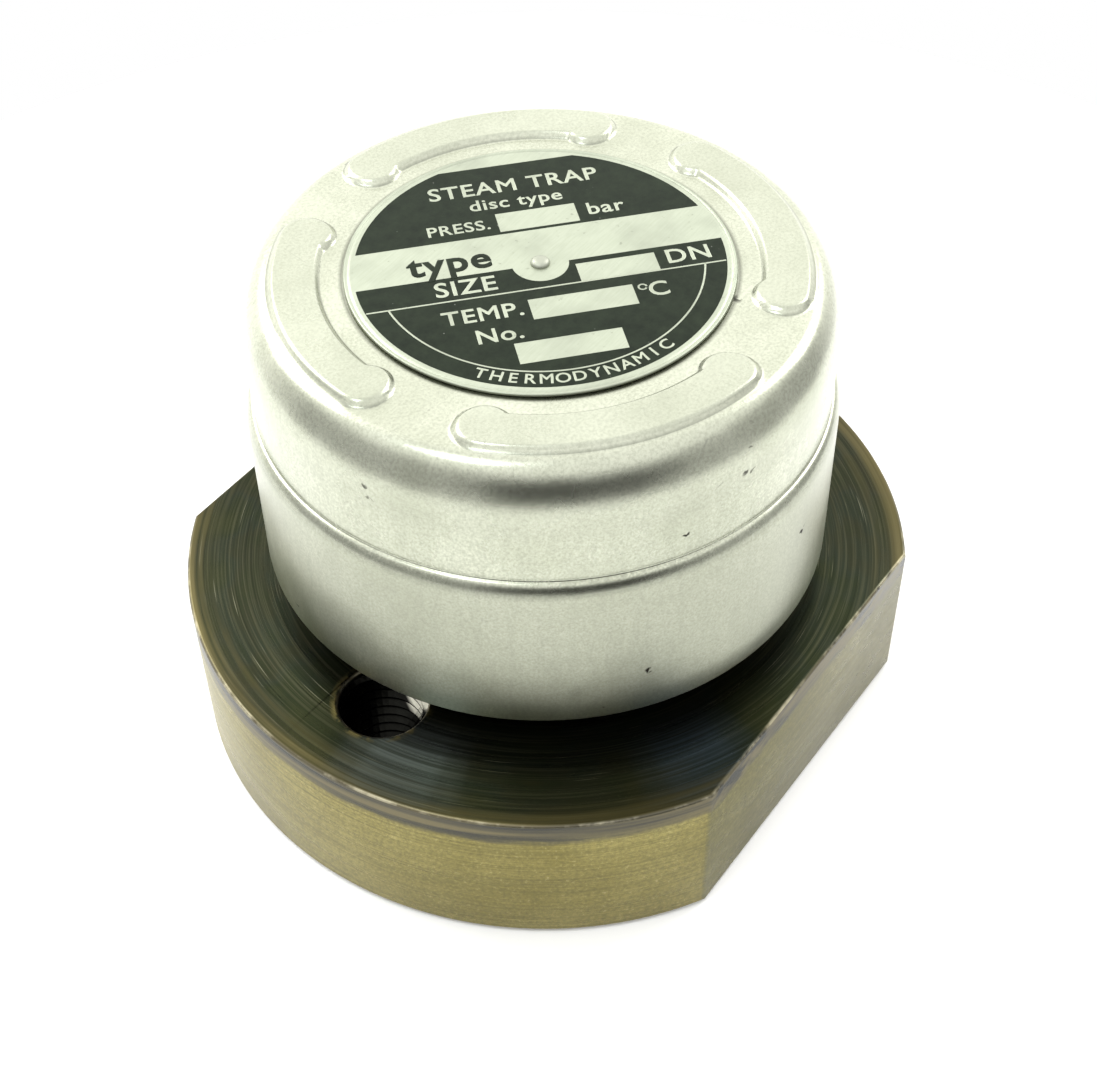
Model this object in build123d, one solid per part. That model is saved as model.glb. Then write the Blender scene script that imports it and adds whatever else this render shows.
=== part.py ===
"""Thermodynamic disc steam trap module for a two-bolt universal connector.

The origin is the centre of the flange's joint face, +Z is up along the trap's axis, and +X runs
along the line of the two tapped bolt holes, parallel to the flange's flats. Sizes are millimetres.
"""
from build123d import *
import os
from math import cos, radians, sin

# Loose two-bolt flange, which turns on the body and pulls on the body's foot
FLANGE_R = 42.5
FLANGE_BOTTOM = 0.4
FLANGE_TOP = 20.0
ACROSS_FLATS = 73.5
FLANGE_EDGE = 0.5
FLANGE_BORE_R = 22.1
FLANGE_RECESS_R = 24.8
BOLT_SPACING = 62.0
BOLT_HOLE_R = 5.0
BOLT_ENTRY = 0.6

# Body: foot, neck and the pocket for the valve seat
FOOT_R = 24.5
FOOT_HEIGHT = 6.0
FOOT_GAP = 0.05
NECK_R = 22.0
NECK_TOP = 33.0
NECK_GROOVE_R = 21.0
POCKET_R = 17.0
POCKET_FLOOR = 18.0

# Snap ring that keeps the flange on the body
FLANGE_SNAP_RING = (21.1, 24.0)
FLANGE_SNAP_GAP = 6.0
FLANGE_SNAP_LOW = 20.25
FLANGE_SNAP_THICK = 1.1
FLANGE_SNAP_FIT = 0.05

# Passages in the body, and the sleeve that parts the inlet from the outlet ring
INLET_R = 3.6
SLEEVE_BORE_R = 6.5
SLEEVE_R = 12.5
OUTLET_RING_R = 17.5
OUTLET_RING_TOP = 7.0
GALLERY_IN = 7.2
GALLERY_OUT = 15.0
GALLERY_FLOOR = 11.5
PASSAGE_COUNT = 6
PASSAGE_R = 1.5
PASSAGE_CIRCLE = 14.1

# Face gaskets to the connector, flush with the joint face as when clamped
FACE_GASKET_THICK = 1.2
FACE_GASKET_FIT = 0.1
INNER_FACE_GASKET = (8.0, 11.0)
OUTER_FACE_GASKET = (19.5, 23.0)

# Inlet strainer
SCREEN_R = 5.4
SCREEN_WALL = 0.4
SCREEN_BOTTOM = 1.0
SCREEN_TOP = 6.6
SCREEN_FLANGE_R = 6.2
SCREEN_HOLE_R = 0.5
SCREEN_ROWS = 3
SCREEN_COLUMNS = 12
SCREEN_RING_IN = 5.0
SCREEN_RING_THICK = 1.0

# Valve seat
SEAT_R = 16.8
SEAT_GASKET_THICK = 0.6
SEAT_RIM_Z = 27.0
SEAT_FACE_Z = 29.0
SEAT_BOSS_TOP_R = 11.3
SEAT_BOSS_FOOT_R = 12.3
SEAT_ORIFICE_R = 3.2
SEAT_GROOVE = (6.2, 9.0)
SEAT_GROOVE_DEPTH = 2.6
SEAT_HOLE_COUNT = 6
SEAT_HOLE_R = 1.1
SEAT_HOLE_CIRCLE = 7.6
INNER_SEAT_GASKET = (4.3, 6.2)
OUTER_SEAT_GASKET = (15.1, 16.8)

# Bimetal air vent ring and valve disc
VENT_RING = (12.4, 13.6)
VENT_RING_HEIGHT = 1.9
VENT_RING_GAP = 1.6
DISC_R = 13.0
DISC_THICK = 3.6
DISC_EDGE = 0.3
DISC_GROOVES = ((5.0, 5.8), (7.6, 8.4), (10.2, 11.0))
DISC_GROOVE_DEPTH = 0.35

# Screwed inner cover
COVER_GASKET = (17.2, 21.8)
COVER_BOTTOM = 22.0
COVER_SKIRT_R = 28.0
COVER_SKIRT_TOP = 30.0
COVER_HEX_FLATS = 50.0
COVER_HEX_TOP = 40.0
COVER_BOSS_R = 20.0
COVER_TOP = 47.0
COVER_THREAD_R = 22.1
COVER_THREAD_TOP = 33.6
CLAMP_RING = (14.1, 16.7)
CHAMBER_CEILING = 34.9
COVER_CHAMFER = 1.0

# Support ring of the outer cap, with its snap ring and grip ring
SUPPORT_BORE_R = 20.1
SUPPORT_R = 31.1
SUPPORT_PLATE_THICK = 2.0
SUPPORT_RIM_IN = 28.6
SUPPORT_SHELF_Z = 44.3
SUPPORT_SPIGOT_R = 30.2
SUPPORT_SPIGOT_TOP = 46.4
SNAP_GROOVE_R = 19.0
SNAP_RING = (19.1, 22.4)
SNAP_RING_THICK = 1.2
SNAP_RING_GAP = 7.0
GRIP_WIRE_R = 0.75
GRIP_WIRE_CENTRE = 30.3
GRIP_WIRE_Z = 42.4
GRIP_RING_OPENING = 14.0

# Outer cap
CAP_BOTTOM = 25.0
CAP_WALL = 1.1
CAP_SKIRT_R = 32.5
CAP_SKIRT_TOP = 43.2
CAP_CREASE_Z = 45.7
CAP_WALL_R = 31.6
CAP_RIM_START = 53.8
CAP_LAND_R = 28.5
CAP_TOP = 60.0
PAD_IN = 22.6
PAD_OUT = 28.4
PAD_HEIGHT = 0.7
PAD_SPAN = 74.0
PAD_FIRST_CENTRE = 52.8
PAD_COUNT = 4
PAD_EDGE = 0.55

# Nameplate and its rivet
PLATE_R = 20.5
PLATE_THICK = 0.45
PLATE_EDGE = 0.12
RIVET_HEAD_R = 1.1
RIVET_HEAD_TOP = 61.0
RIVET_SHANK_R = 0.7
RIVET_HOLE_R = 0.75
RIVET_TAIL_R = 1.3
RIVET_TAIL_THICK = 0.9


def tube(r_in, r_out, low, high):
    """Plain ring between two radii and two heights."""
    height = high - low
    at_base = (Align.CENTER, Align.CENTER, Align.MIN)
    body = Cylinder(r_out, height, align=at_base)
    if r_in > 0:
        body -= Cylinder(r_in, height, align=at_base)
    return Pos(0, 0, low) * body


def turned(points):
    """Solid of revolution about Z from a closed outline of (radius, height) points."""
    outline = Polyline(*points, close=True)
    return revolve(Plane.XZ * make_face(outline), Axis.Z)


def ring_of(tool, count, radius, first=0.0):
    """Copies of a tool standing evenly round the axis."""
    step = 360.0 / count
    return [Rot(0, 0, first + step * i) * Pos(radius, 0, 0) * tool for i in range(count)]


def split_block(width, r_in, r_out, low, high, angle):
    """Block that cuts a gap of a given width out of a ring."""
    depth = r_out - r_in + 2
    height = high - low + 2
    block = Box(depth, width, height)
    return Rot(0, 0, angle) * Pos((r_in + r_out) / 2, 0, (low + high) / 2) * block


def swivel_flange():
    """Loose flange with two flats, two tapped through holes and a stepped bore."""
    height = FLANGE_TOP - FLANGE_BOTTOM
    flange = tube(0, FLANGE_R, FLANGE_BOTTOM, FLANGE_TOP)
    flange &= Pos(0, 0, FLANGE_BOTTOM + height / 2) * Box(2 * FLANGE_R, ACROSS_FLATS, height)
    rims = flange.faces().filter_by(Axis.Z).edges()
    flange = chamfer(rims, FLANGE_EDGE)
    flange -= tube(0, FLANGE_BORE_R, 0, FLANGE_TOP)
    flange -= tube(0, FLANGE_RECESS_R, 0, FOOT_HEIGHT + FOOT_GAP)
    bolt_hole = turned([
        (0, FLANGE_BOTTOM), (BOLT_HOLE_R + BOLT_ENTRY, FLANGE_BOTTOM),
        (BOLT_HOLE_R, FLANGE_BOTTOM + BOLT_ENTRY), (BOLT_HOLE_R, FLANGE_TOP - BOLT_ENTRY),
        (BOLT_HOLE_R + BOLT_ENTRY, FLANGE_TOP), (0, FLANGE_TOP),
    ])
    return flange - ring_of(bolt_hole, 2, BOLT_SPACING / 2)


def flange_snap_ring():
    """Split ring in the neck's groove, just above the loose flange."""
    high = FLANGE_SNAP_LOW + FLANGE_SNAP_THICK
    ring = tube(*FLANGE_SNAP_RING, FLANGE_SNAP_LOW, high)
    return ring - split_block(FLANGE_SNAP_GAP, *FLANGE_SNAP_RING, FLANGE_SNAP_LOW, high, 90)


def trap_body():
    """Body: foot with the outlet ring and its gasket recess, web, neck and seat pocket."""
    body = tube(0, FOOT_R, 0, FOOT_HEIGHT)
    body += tube(0, NECK_R, FOOT_HEIGHT - 1, NECK_TOP)
    groove_low = FLANGE_SNAP_LOW - FLANGE_SNAP_FIT
    groove_high = FLANGE_SNAP_LOW + FLANGE_SNAP_THICK + FLANGE_SNAP_FIT
    body -= tube(NECK_GROOVE_R, NECK_R + 1, groove_low, groove_high)
    body -= tube(0, POCKET_R, POCKET_FLOOR, NECK_TOP)
    body -= tube(0, INLET_R, 0, POCKET_FLOOR)
    body -= tube(GALLERY_IN, GALLERY_OUT, GALLERY_FLOOR, POCKET_FLOOR)
    body -= tube(0, OUTLET_RING_R, 0, OUTLET_RING_TOP)
    body -= tube(*OUTER_FACE_GASKET, 0, FACE_GASKET_THICK)
    passage = tube(0, PASSAGE_R, OUTLET_RING_TOP - 1, GALLERY_FLOOR + 1)
    return body - ring_of(passage, PASSAGE_COUNT, PASSAGE_CIRCLE, 30)


def inlet_sleeve():
    """Sleeve brazed under the body's web: the inlet inside it, the outlet ring outside it."""
    sleeve = tube(SLEEVE_BORE_R, SLEEVE_R, 0, OUTLET_RING_TOP)
    return sleeve - tube(*INNER_FACE_GASKET, 0, FACE_GASKET_THICK)


def face_gasket(radii):
    """Flat gasket in its recess in the joint face."""
    r_in, r_out = radii
    return tube(r_in + FACE_GASKET_FIT, r_out - FACE_GASKET_FIT, 0, FACE_GASKET_THICK)


def inlet_screen():
    """Perforated cup with a rolled foot, closed at its top."""
    inner_r = SCREEN_R - SCREEN_WALL
    foot_low = SCREEN_BOTTOM + SCREEN_RING_THICK
    screen = tube(inner_r, SCREEN_R, foot_low, SCREEN_TOP)
    screen += tube(0, SCREEN_R, SCREEN_TOP - SCREEN_WALL, SCREEN_TOP)
    screen += tube(inner_r, SCREEN_FLANGE_R, foot_low, foot_low + SCREEN_WALL)
    rows_height = SCREEN_TOP - foot_low - 2 * SCREEN_WALL
    drill = Rot(0, 90, 0) * Cylinder(SCREEN_HOLE_R, 3)
    for row in range(SCREEN_ROWS):
        height = foot_low + SCREEN_WALL + rows_height * (row + 0.5) / SCREEN_ROWS
        turn = 180.0 / SCREEN_COLUMNS * (row % 2)
        screen -= ring_of(Pos(0, 0, height) * drill, SCREEN_COLUMNS, SCREEN_R, turn)
    top_drill = Pos(0, 0, SCREEN_TOP) * Cylinder(SCREEN_HOLE_R, 3)
    screen -= ring_of(top_drill, 6, SCREEN_R / 2)
    return screen - top_drill


def screen_ring():
    """Ring pressed into the inlet's mouth under the strainer's foot."""
    return tube(SCREEN_RING_IN, SLEEVE_BORE_R, SCREEN_BOTTOM, SCREEN_BOTTOM + SCREEN_RING_THICK)


def seat_gasket(radii):
    """Thin ring between the body's pocket floor and the valve seat."""
    return tube(*radii, POCKET_FLOOR, POCKET_FLOOR + SEAT_GASKET_THICK)


def valve_seat():
    """Seat with a central inlet orifice, two lapped lands and an annular outlet groove."""
    bottom = POCKET_FLOOR + SEAT_GASKET_THICK
    seat = turned([
        (SEAT_ORIFICE_R, bottom), (SEAT_R, bottom), (SEAT_R, SEAT_RIM_Z),
        (SEAT_BOSS_FOOT_R, SEAT_RIM_Z), (SEAT_BOSS_TOP_R, SEAT_FACE_Z), (SEAT_ORIFICE_R, SEAT_FACE_Z),
    ])
    seat -= tube(*SEAT_GROOVE, SEAT_FACE_Z - SEAT_GROOVE_DEPTH, SEAT_FACE_Z)
    outlet = tube(0, SEAT_HOLE_R, bottom, SEAT_FACE_Z)
    return seat - ring_of(outlet, SEAT_HOLE_COUNT, SEAT_HOLE_CIRCLE)


def air_vent_ring():
    """Split bimetal ring round the seat's tapered boss, under the rim of the disc."""
    top = SEAT_RIM_Z + VENT_RING_HEIGHT
    ring = tube(*VENT_RING, SEAT_RIM_Z, top)
    return ring - split_block(VENT_RING_GAP, *VENT_RING, SEAT_RIM_Z, top, 90)


def valve_disc():
    """Loose flat disc with shallow rings turned in both faces."""
    disc = tube(0, DISC_R, SEAT_FACE_Z, SEAT_FACE_Z + DISC_THICK)
    disc = chamfer(disc.edges().filter_by(GeomType.CIRCLE), DISC_EDGE)
    top = SEAT_FACE_Z + DISC_THICK
    for r_in, r_out in DISC_GROOVES:
        disc -= tube(r_in, r_out, top - DISC_GROOVE_DEPTH, top)
    return disc


def cover_gasket():
    """Flat ring between the neck's top face and the ledge inside the inner cover."""
    return tube(*COVER_GASKET, NECK_TOP, COVER_THREAD_TOP)


def inner_cover():
    """Screwed pressure cover: skirt, hexagon, boss, and a ring inside that clamps the seat."""
    skirt = tube(0, COVER_SKIRT_R, COVER_BOTTOM, COVER_SKIRT_TOP)
    corner_r = COVER_HEX_FLATS / 2 / cos(radians(30))
    hexagon = extrude(RegularPolygon(corner_r, 6), COVER_HEX_TOP - COVER_SKIRT_TOP)
    hexagon = Pos(0, 0, COVER_SKIRT_TOP) * hexagon
    hexagon &= turned([
        (0, COVER_SKIRT_TOP), (corner_r, COVER_SKIRT_TOP), (corner_r, COVER_HEX_TOP - COVER_CHAMFER),
        (corner_r - 2 * COVER_CHAMFER, COVER_HEX_TOP), (0, COVER_HEX_TOP),
    ])
    boss = turned([
        (0, COVER_HEX_TOP - 1), (COVER_BOSS_R, COVER_HEX_TOP - 1),
        (COVER_BOSS_R, COVER_TOP - COVER_CHAMFER), (COVER_BOSS_R - COVER_CHAMFER, COVER_TOP),
        (0, COVER_TOP),
    ])
    cover = skirt + hexagon + boss
    cover -= tube(0, COVER_THREAD_R, COVER_BOTTOM, COVER_THREAD_TOP)
    cover += tube(*CLAMP_RING, SEAT_RIM_Z, COVER_THREAD_TOP + 1)
    cover -= tube(0, CLAMP_RING[0], SEAT_RIM_Z, CHAMBER_CEILING)
    groove_low = COVER_HEX_TOP + SUPPORT_PLATE_THICK
    cover -= tube(SNAP_GROOVE_R, COVER_BOSS_R + 1, groove_low, groove_low + SNAP_RING_THICK)
    return cover


def cap_support_ring():
    """Ring on the inner cover that centres the outer cap and carries it at its shoulder."""
    bottom = COVER_HEX_TOP
    plate_top = bottom + SUPPORT_PLATE_THICK
    ring = turned([
        (SUPPORT_BORE_R, bottom), (SUPPORT_R, bottom), (SUPPORT_R, SUPPORT_SHELF_Z),
        (SUPPORT_SPIGOT_R, SUPPORT_SHELF_Z), (SUPPORT_SPIGOT_R, SUPPORT_SPIGOT_TOP),
        (SUPPORT_RIM_IN, SUPPORT_SPIGOT_TOP), (SUPPORT_RIM_IN, plate_top), (SUPPORT_BORE_R, plate_top),
    ])
    groove_in = GRIP_WIRE_CENTRE - GRIP_WIRE_R - 0.1
    groove_low = GRIP_WIRE_Z - GRIP_WIRE_R - 0.1
    groove_high = GRIP_WIRE_Z + GRIP_WIRE_R + 0.1
    return ring - tube(groove_in, SUPPORT_R + 1, groove_low, groove_high)


def support_snap_ring():
    """Split ring in the inner cover's groove that holds the support ring down."""
    low = COVER_HEX_TOP + SUPPORT_PLATE_THICK
    high = low + SNAP_RING_THICK
    return tube(*SNAP_RING, low, high) - split_block(SNAP_RING_GAP, *SNAP_RING, low, high, 0)


def cap_grip_ring():
    """Split spring wire round the support ring that grips the cap's skirt from inside."""
    wire = Plane.XZ * Pos(GRIP_WIRE_CENTRE, GRIP_WIRE_Z) * Circle(GRIP_WIRE_R)
    ring = revolve(wire, Axis.Z, 360.0 - GRIP_RING_OPENING)
    return Rot(0, 0, GRIP_RING_OPENING / 2) * ring


def cap_profile(inset):
    """Half section of the cap's outside, moved inwards by an even wall thickness."""
    skirt_r = CAP_SKIRT_R - inset
    wall_r = CAP_WALL_R - inset
    top = CAP_TOP - inset
    rim = EllipticalCenterArc((CAP_LAND_R, CAP_RIM_START), wall_r - CAP_LAND_R, top - CAP_RIM_START)
    if inset:
        shelf = Polyline((skirt_r, CAP_BOTTOM), (skirt_r, SUPPORT_SHELF_Z), (wall_r, SUPPORT_SHELF_Z))
        foot = Line((0, CAP_BOTTOM), (skirt_r, CAP_BOTTOM))
        wall = Line((wall_r, SUPPORT_SHELF_Z), (wall_r, CAP_RIM_START))
        side = [foot, shelf, wall]
    else:
        foot = Line((0, CAP_BOTTOM), (skirt_r, CAP_BOTTOM))
        skirt = Line((skirt_r, CAP_BOTTOM), (skirt_r, CAP_SKIRT_TOP))
        shoulder = EllipticalCenterArc(
            (wall_r, CAP_SKIRT_TOP), skirt_r - wall_r, CAP_CREASE_Z - CAP_SKIRT_TOP)
        wall = Line((wall_r, CAP_CREASE_Z), (wall_r, CAP_RIM_START))
        side = [foot, skirt, shoulder, wall]
    land = Line((CAP_LAND_R, top), (0, top))
    axis = Line((0, top), (0, CAP_BOTTOM))
    return make_face([*side, rim, land, axis])


def polar(radius, angle):
    """Flat point at a radius and an angle in radians."""
    return radius * cos(angle), radius * sin(angle)


def pad_outline(grow):
    """Arc-shaped outline with round ends, made larger or smaller all round."""
    middle = (PAD_IN + PAD_OUT) / 2
    end_r = (PAD_OUT - PAD_IN) / 2 + grow
    turn = radians(PAD_SPAN / 2) - (PAD_OUT - PAD_IN) / 2 / middle
    x, y = polar(middle, turn)
    tip = (x - end_r * sin(turn), y + end_r * cos(turn))
    other_tip = (tip[0], -tip[1])
    inner = ThreePointArc(polar(middle - end_r, -turn), (middle - end_r, 0), polar(middle - end_r, turn))
    outer = ThreePointArc(polar(middle + end_r, -turn), (middle + end_r, 0), polar(middle + end_r, turn))
    ends = [ThreePointArc(inner @ 1, tip, outer @ 1), ThreePointArc(inner @ 0, other_tip, outer @ 0)]
    return make_face([inner, outer, *ends])


def outer_cap():
    """Spun light-alloy air-jacket cap with a stepped skirt and embossed arc pads on its top."""
    shell = revolve(Plane.XZ * cap_profile(0), Axis.Z)
    hollow = revolve(Plane.XZ * cap_profile(CAP_WALL), Axis.Z)
    step = 360.0 / PAD_COUNT
    pad = Pos(0, 0, CAP_TOP - 0.4) * extrude(pad_outline(0), PAD_HEIGHT + 0.4)
    pad = fillet(pad.faces().sort_by(Axis.Z)[-1].edges(), PAD_EDGE)
    recess = Pos(0, 0, CAP_TOP - CAP_WALL - 0.4) * extrude(pad_outline(-0.8), PAD_HEIGHT + 0.4)
    cap = shell
    for i in range(PAD_COUNT):
        cap += Rot(0, 0, PAD_FIRST_CENTRE + step * i) * pad
    cap -= hollow
    for i in range(PAD_COUNT):
        cap -= Rot(0, 0, PAD_FIRST_CENTRE + step * i) * recess
    return cap - tube(0, RIVET_HOLE_R, CAP_TOP - 3, CAP_TOP + 1)


def nameplate():
    """Thin round rating plate on the cap's top."""
    plate = tube(0, PLATE_R, CAP_TOP, CAP_TOP + PLATE_THICK)
    rim = plate.edges().filter_by(GeomType.CIRCLE).sort_by(Axis.Z)[-1]
    plate = chamfer(rim, PLATE_EDGE)
    return plate - tube(0, RIVET_HOLE_R, CAP_TOP, CAP_TOP + PLATE_THICK)


def nameplate_rivet():
    """Rivet through the plate and the cap's top wall, with a domed head and a set tail."""
    head_low = CAP_TOP + PLATE_THICK
    tail_high = CAP_TOP - CAP_WALL
    dome = RIVET_HEAD_TOP - head_low
    sphere_r = (RIVET_HEAD_R ** 2 + dome ** 2) / (2 * dome)
    head = Pos(0, 0, RIVET_HEAD_TOP - sphere_r) * Sphere(sphere_r)
    head &= tube(0, RIVET_HEAD_R + 1, head_low, RIVET_HEAD_TOP)
    shank = tube(0, RIVET_SHANK_R, tail_high - RIVET_TAIL_THICK / 2, head_low + dome / 2)
    tail = tube(0, RIVET_TAIL_R, tail_high - RIVET_TAIL_THICK, tail_high)
    return head + shank + tail


NODES = {
    "trap_body": trap_body,
    "inlet_sleeve": inlet_sleeve,
    "swivel_flange": swivel_flange,
    "flange_snap_ring": flange_snap_ring,
    "connector_gasket_inner": lambda: face_gasket(INNER_FACE_GASKET),
    "connector_gasket_outer": lambda: face_gasket(OUTER_FACE_GASKET),
    "inlet_screen": inlet_screen,
    "screen_ring": screen_ring,
    "seat_gasket_inner": lambda: seat_gasket(INNER_SEAT_GASKET),
    "seat_gasket_outer": lambda: seat_gasket(OUTER_SEAT_GASKET),
    "valve_seat": valve_seat,
    "air_vent_ring": air_vent_ring,
    "valve_disc": valve_disc,
    "cover_gasket": cover_gasket,
    "inner_cover": inner_cover,
    "cap_support_ring": cap_support_ring,
    "support_snap_ring": support_snap_ring,
    "cap_grip_ring": cap_grip_ring,
    "outer_cap": outer_cap,
    "nameplate": nameplate,
    "nameplate_rivet": nameplate_rivet,
}

os.makedirs("parts", exist_ok=True)
for node, make in NODES.items():
    export_step(make(), f"parts/{node}.step")
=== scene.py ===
"""Looks of a two-bolt disc steam trap module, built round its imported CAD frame.

Everything is in metres in the CAD frame: the origin is the centre of the flange's joint face, +Z is
the trap's axis and +X runs along the line of the bolt holes. Sizes below are written in millimetres
and turned into metres by MM.
"""
import math

import bmesh
import bpy
from mathutils import Matrix, Vector


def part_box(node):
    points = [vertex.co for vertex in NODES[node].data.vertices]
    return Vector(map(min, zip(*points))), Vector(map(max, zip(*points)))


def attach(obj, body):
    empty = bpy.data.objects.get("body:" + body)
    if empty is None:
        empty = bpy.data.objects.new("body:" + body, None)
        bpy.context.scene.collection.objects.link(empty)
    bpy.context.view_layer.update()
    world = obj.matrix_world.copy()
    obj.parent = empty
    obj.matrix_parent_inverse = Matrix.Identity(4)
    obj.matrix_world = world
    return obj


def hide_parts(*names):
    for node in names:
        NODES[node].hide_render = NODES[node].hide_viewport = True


MM = 0.001
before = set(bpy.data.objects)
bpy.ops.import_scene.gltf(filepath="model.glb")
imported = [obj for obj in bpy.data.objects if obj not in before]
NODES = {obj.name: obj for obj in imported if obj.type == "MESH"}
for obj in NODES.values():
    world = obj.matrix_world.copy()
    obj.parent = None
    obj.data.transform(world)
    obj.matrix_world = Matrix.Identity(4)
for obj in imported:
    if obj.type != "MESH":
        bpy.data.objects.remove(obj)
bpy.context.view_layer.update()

# Driving sizes of the flange; its outline is read from the frame
FLANGE_LOW, FLANGE_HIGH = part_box("swivel_flange")
FLANGE_R = FLANGE_HIGH.x / MM
FLAT_Y = FLANGE_HIGH.y / MM
BORE_R = 22.1
RECESS_R = 24.8
RECESS_TOP = 6.05
FLANGE_EDGE = 0.38
BOLT_X = 31.0
BOLT_R = 5.0
BOLT_POINTS = 60
BORE_TURNS = 120
THREAD_PITCH = 1.5
THREAD_DEPTH = 0.75
THREAD_CREST = 0.12
THREAD_ROOT = 0.70
THREAD_LOW_GAP = 1.3
THREAD_HIGH_GAP = 1.1
THREAD_STEPS = 40
THREAD_SUNK = 0.02
# Blue and violet fans out from the axis on the flange's top, partly heat tint, partly painted sheen along
# the turning marks: azimuth, strength, colour
TINT_AND_SHEEN_FANS = (
    (191, 0.85, (0.150, 0.175, 0.170)), (241, 0.60, (0.045, 0.070, 0.110)),
    (20, 0.60, (0.080, 0.095, 0.105)), (60, 0.45, (0.060, 0.070, 0.095)),
)

# Driving sizes of the outer cap
CAP_LOW, CAP_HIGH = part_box("outer_cap")
CAP_BOTTOM = CAP_LOW.z / MM
SKIRT_R = CAP_HIGH.x / MM
CAP_WALL = 1.1
SKIRT_TOP = 43.2
CREASE_Z = 45.7
WALL_R = 31.6
RIM_START = 53.8
LAND_R = 28.5
LAND_Z = 60.0
PAD_COUNT = 4
PAD_FIRST = 52.8
PAD_IN = 22.8
PAD_OUT = 28.6
PAD_HALF_SPAN = 37.0
PAD_END_R = 3.3
PAD_HEIGHT = CAP_HIGH.z / MM - LAND_Z
PAD_SLOPE = 0.85
RIVET_HOLE_R = 1.1
CAP_TURNS = 540

# Nameplate
PLATE_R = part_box("nameplate")[1].x / MM
PLATE_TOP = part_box("nameplate")[1].z / MM
PRINT_R = 19.4
PRINT_LIFT = 0.012
TEXT_LIFT = 0.020
TEXT_ANGLE = -42.2
PLATE_TURNS = 256
RIVET_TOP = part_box("nameplate_rivet")[1].z / MM
RIVET_HEAD_R = 1.05
RIVET_TURNS = 48

# Stage: a round floor, and lights that stand at one distance
FLOOR_R = 150.0
FLOOR_Z = -0.05
LIGHT_DISTANCE = 0.9
# The dark part of the room behind the camera, turned this many degrees to the camera's right
DARK_ROOM_TURN = 11.0

# Camera: where it stands round the object, and how it looks
CAMERA_ANGLE = 216.25
CAMERA_ELEVATION = 47.05
CAMERA_DISTANCE = 235.6
CAMERA_ROLL = -1.217
CAMERA_AIM_Z = 12.75
CAMERA_LENS = 63.44
CAMERA_SHIFT = (0.0015, 0.0378)


def put(mesh, name):
    """New object from a mesh, linked to the scene."""
    piece = bpy.data.objects.new(name, mesh)
    bpy.context.scene.collection.objects.link(piece)
    return piece


def from_bmesh(bm, name, smooth=True):
    """Finishes a bmesh in millimetres as an object in metres."""
    bmesh.ops.recalc_face_normals(bm, faces=bm.faces)
    for face in bm.faces:
        face.smooth = smooth
    mesh = bpy.data.meshes.new(name)
    bm.to_mesh(mesh)
    bm.free()
    mesh.transform(Matrix.Scale(MM, 4))
    return put(mesh, name)


def lathe(bm, outline, turns, height_at=None, closed=True):
    """Turned surface from (radius, height) points; height_at lifts a point by radius and angle."""
    rows = []
    for step in range(turns):
        angle = 2 * math.pi * step / turns
        c, s = math.cos(angle), math.sin(angle)
        row = []
        for index, (r, z) in enumerate(outline):
            lift = height_at(index, r, angle) if height_at else 0.0
            row.append(bm.verts.new((r * c, r * s, z + lift)))
        rows.append(row)
    count = len(outline)
    spans = count if closed else count - 1
    for step in range(turns):
        here, there = rows[step], rows[(step + 1) % turns]
        for i in range(spans):
            j = (i + 1) % count
            bm.faces.new((here[i], here[j], there[j], there[i]))
    return rows


def arc_points(centre, r_x, r_z, start, end, count):
    """Points along an ellipse's arc, angles in degrees."""
    points = []
    for i in range(count + 1):
        a = math.radians(start + (end - start) * i / count)
        points.append((centre[0] + r_x * math.cos(a), centre[1] + r_z * math.sin(a)))
    return points


def circle_part(radius, start, end, count=48):
    """Points along a circle between two angles in degrees."""
    points = []
    for i in range(count + 1):
        a = math.radians(start + (end - start) * i / count)
        points.append((radius * math.cos(a), radius * math.sin(a)))
    return points


def full_circle(radius, count):
    """Points all the way round a circle, the first one not repeated."""
    return circle_part(radius, 0, 360 - 360 / count, count - 1)


def add_lines(data, outlines, closed=True):
    """Straight-sided splines through flat points in millimetres."""
    for points in outlines:
        spline = data.splines.new("POLY")
        spline.points.add(len(points) - 1)
        for target, (x, y) in zip(spline.points, points):
            target.co = (x * MM, y * MM, 0, 1)
        spline.use_cyclic_u = closed


def mesh_of(thing):
    """Mesh of a curve or text object, which is then removed."""
    bpy.context.view_layer.update()
    graph = bpy.context.evaluated_depsgraph_get()
    mesh = bpy.data.meshes.new_from_object(thing.evaluated_get(graph))
    bpy.data.objects.remove(thing)
    return mesh


def smoothstep(low, high, value):
    """Eased step from 0 at low to 1 at high."""
    t = min(1.0, max(0.0, (value - low) / (high - low)))
    return t * t * (3 - 2 * t)


# ---------------------------------------------------------------- materials


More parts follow.
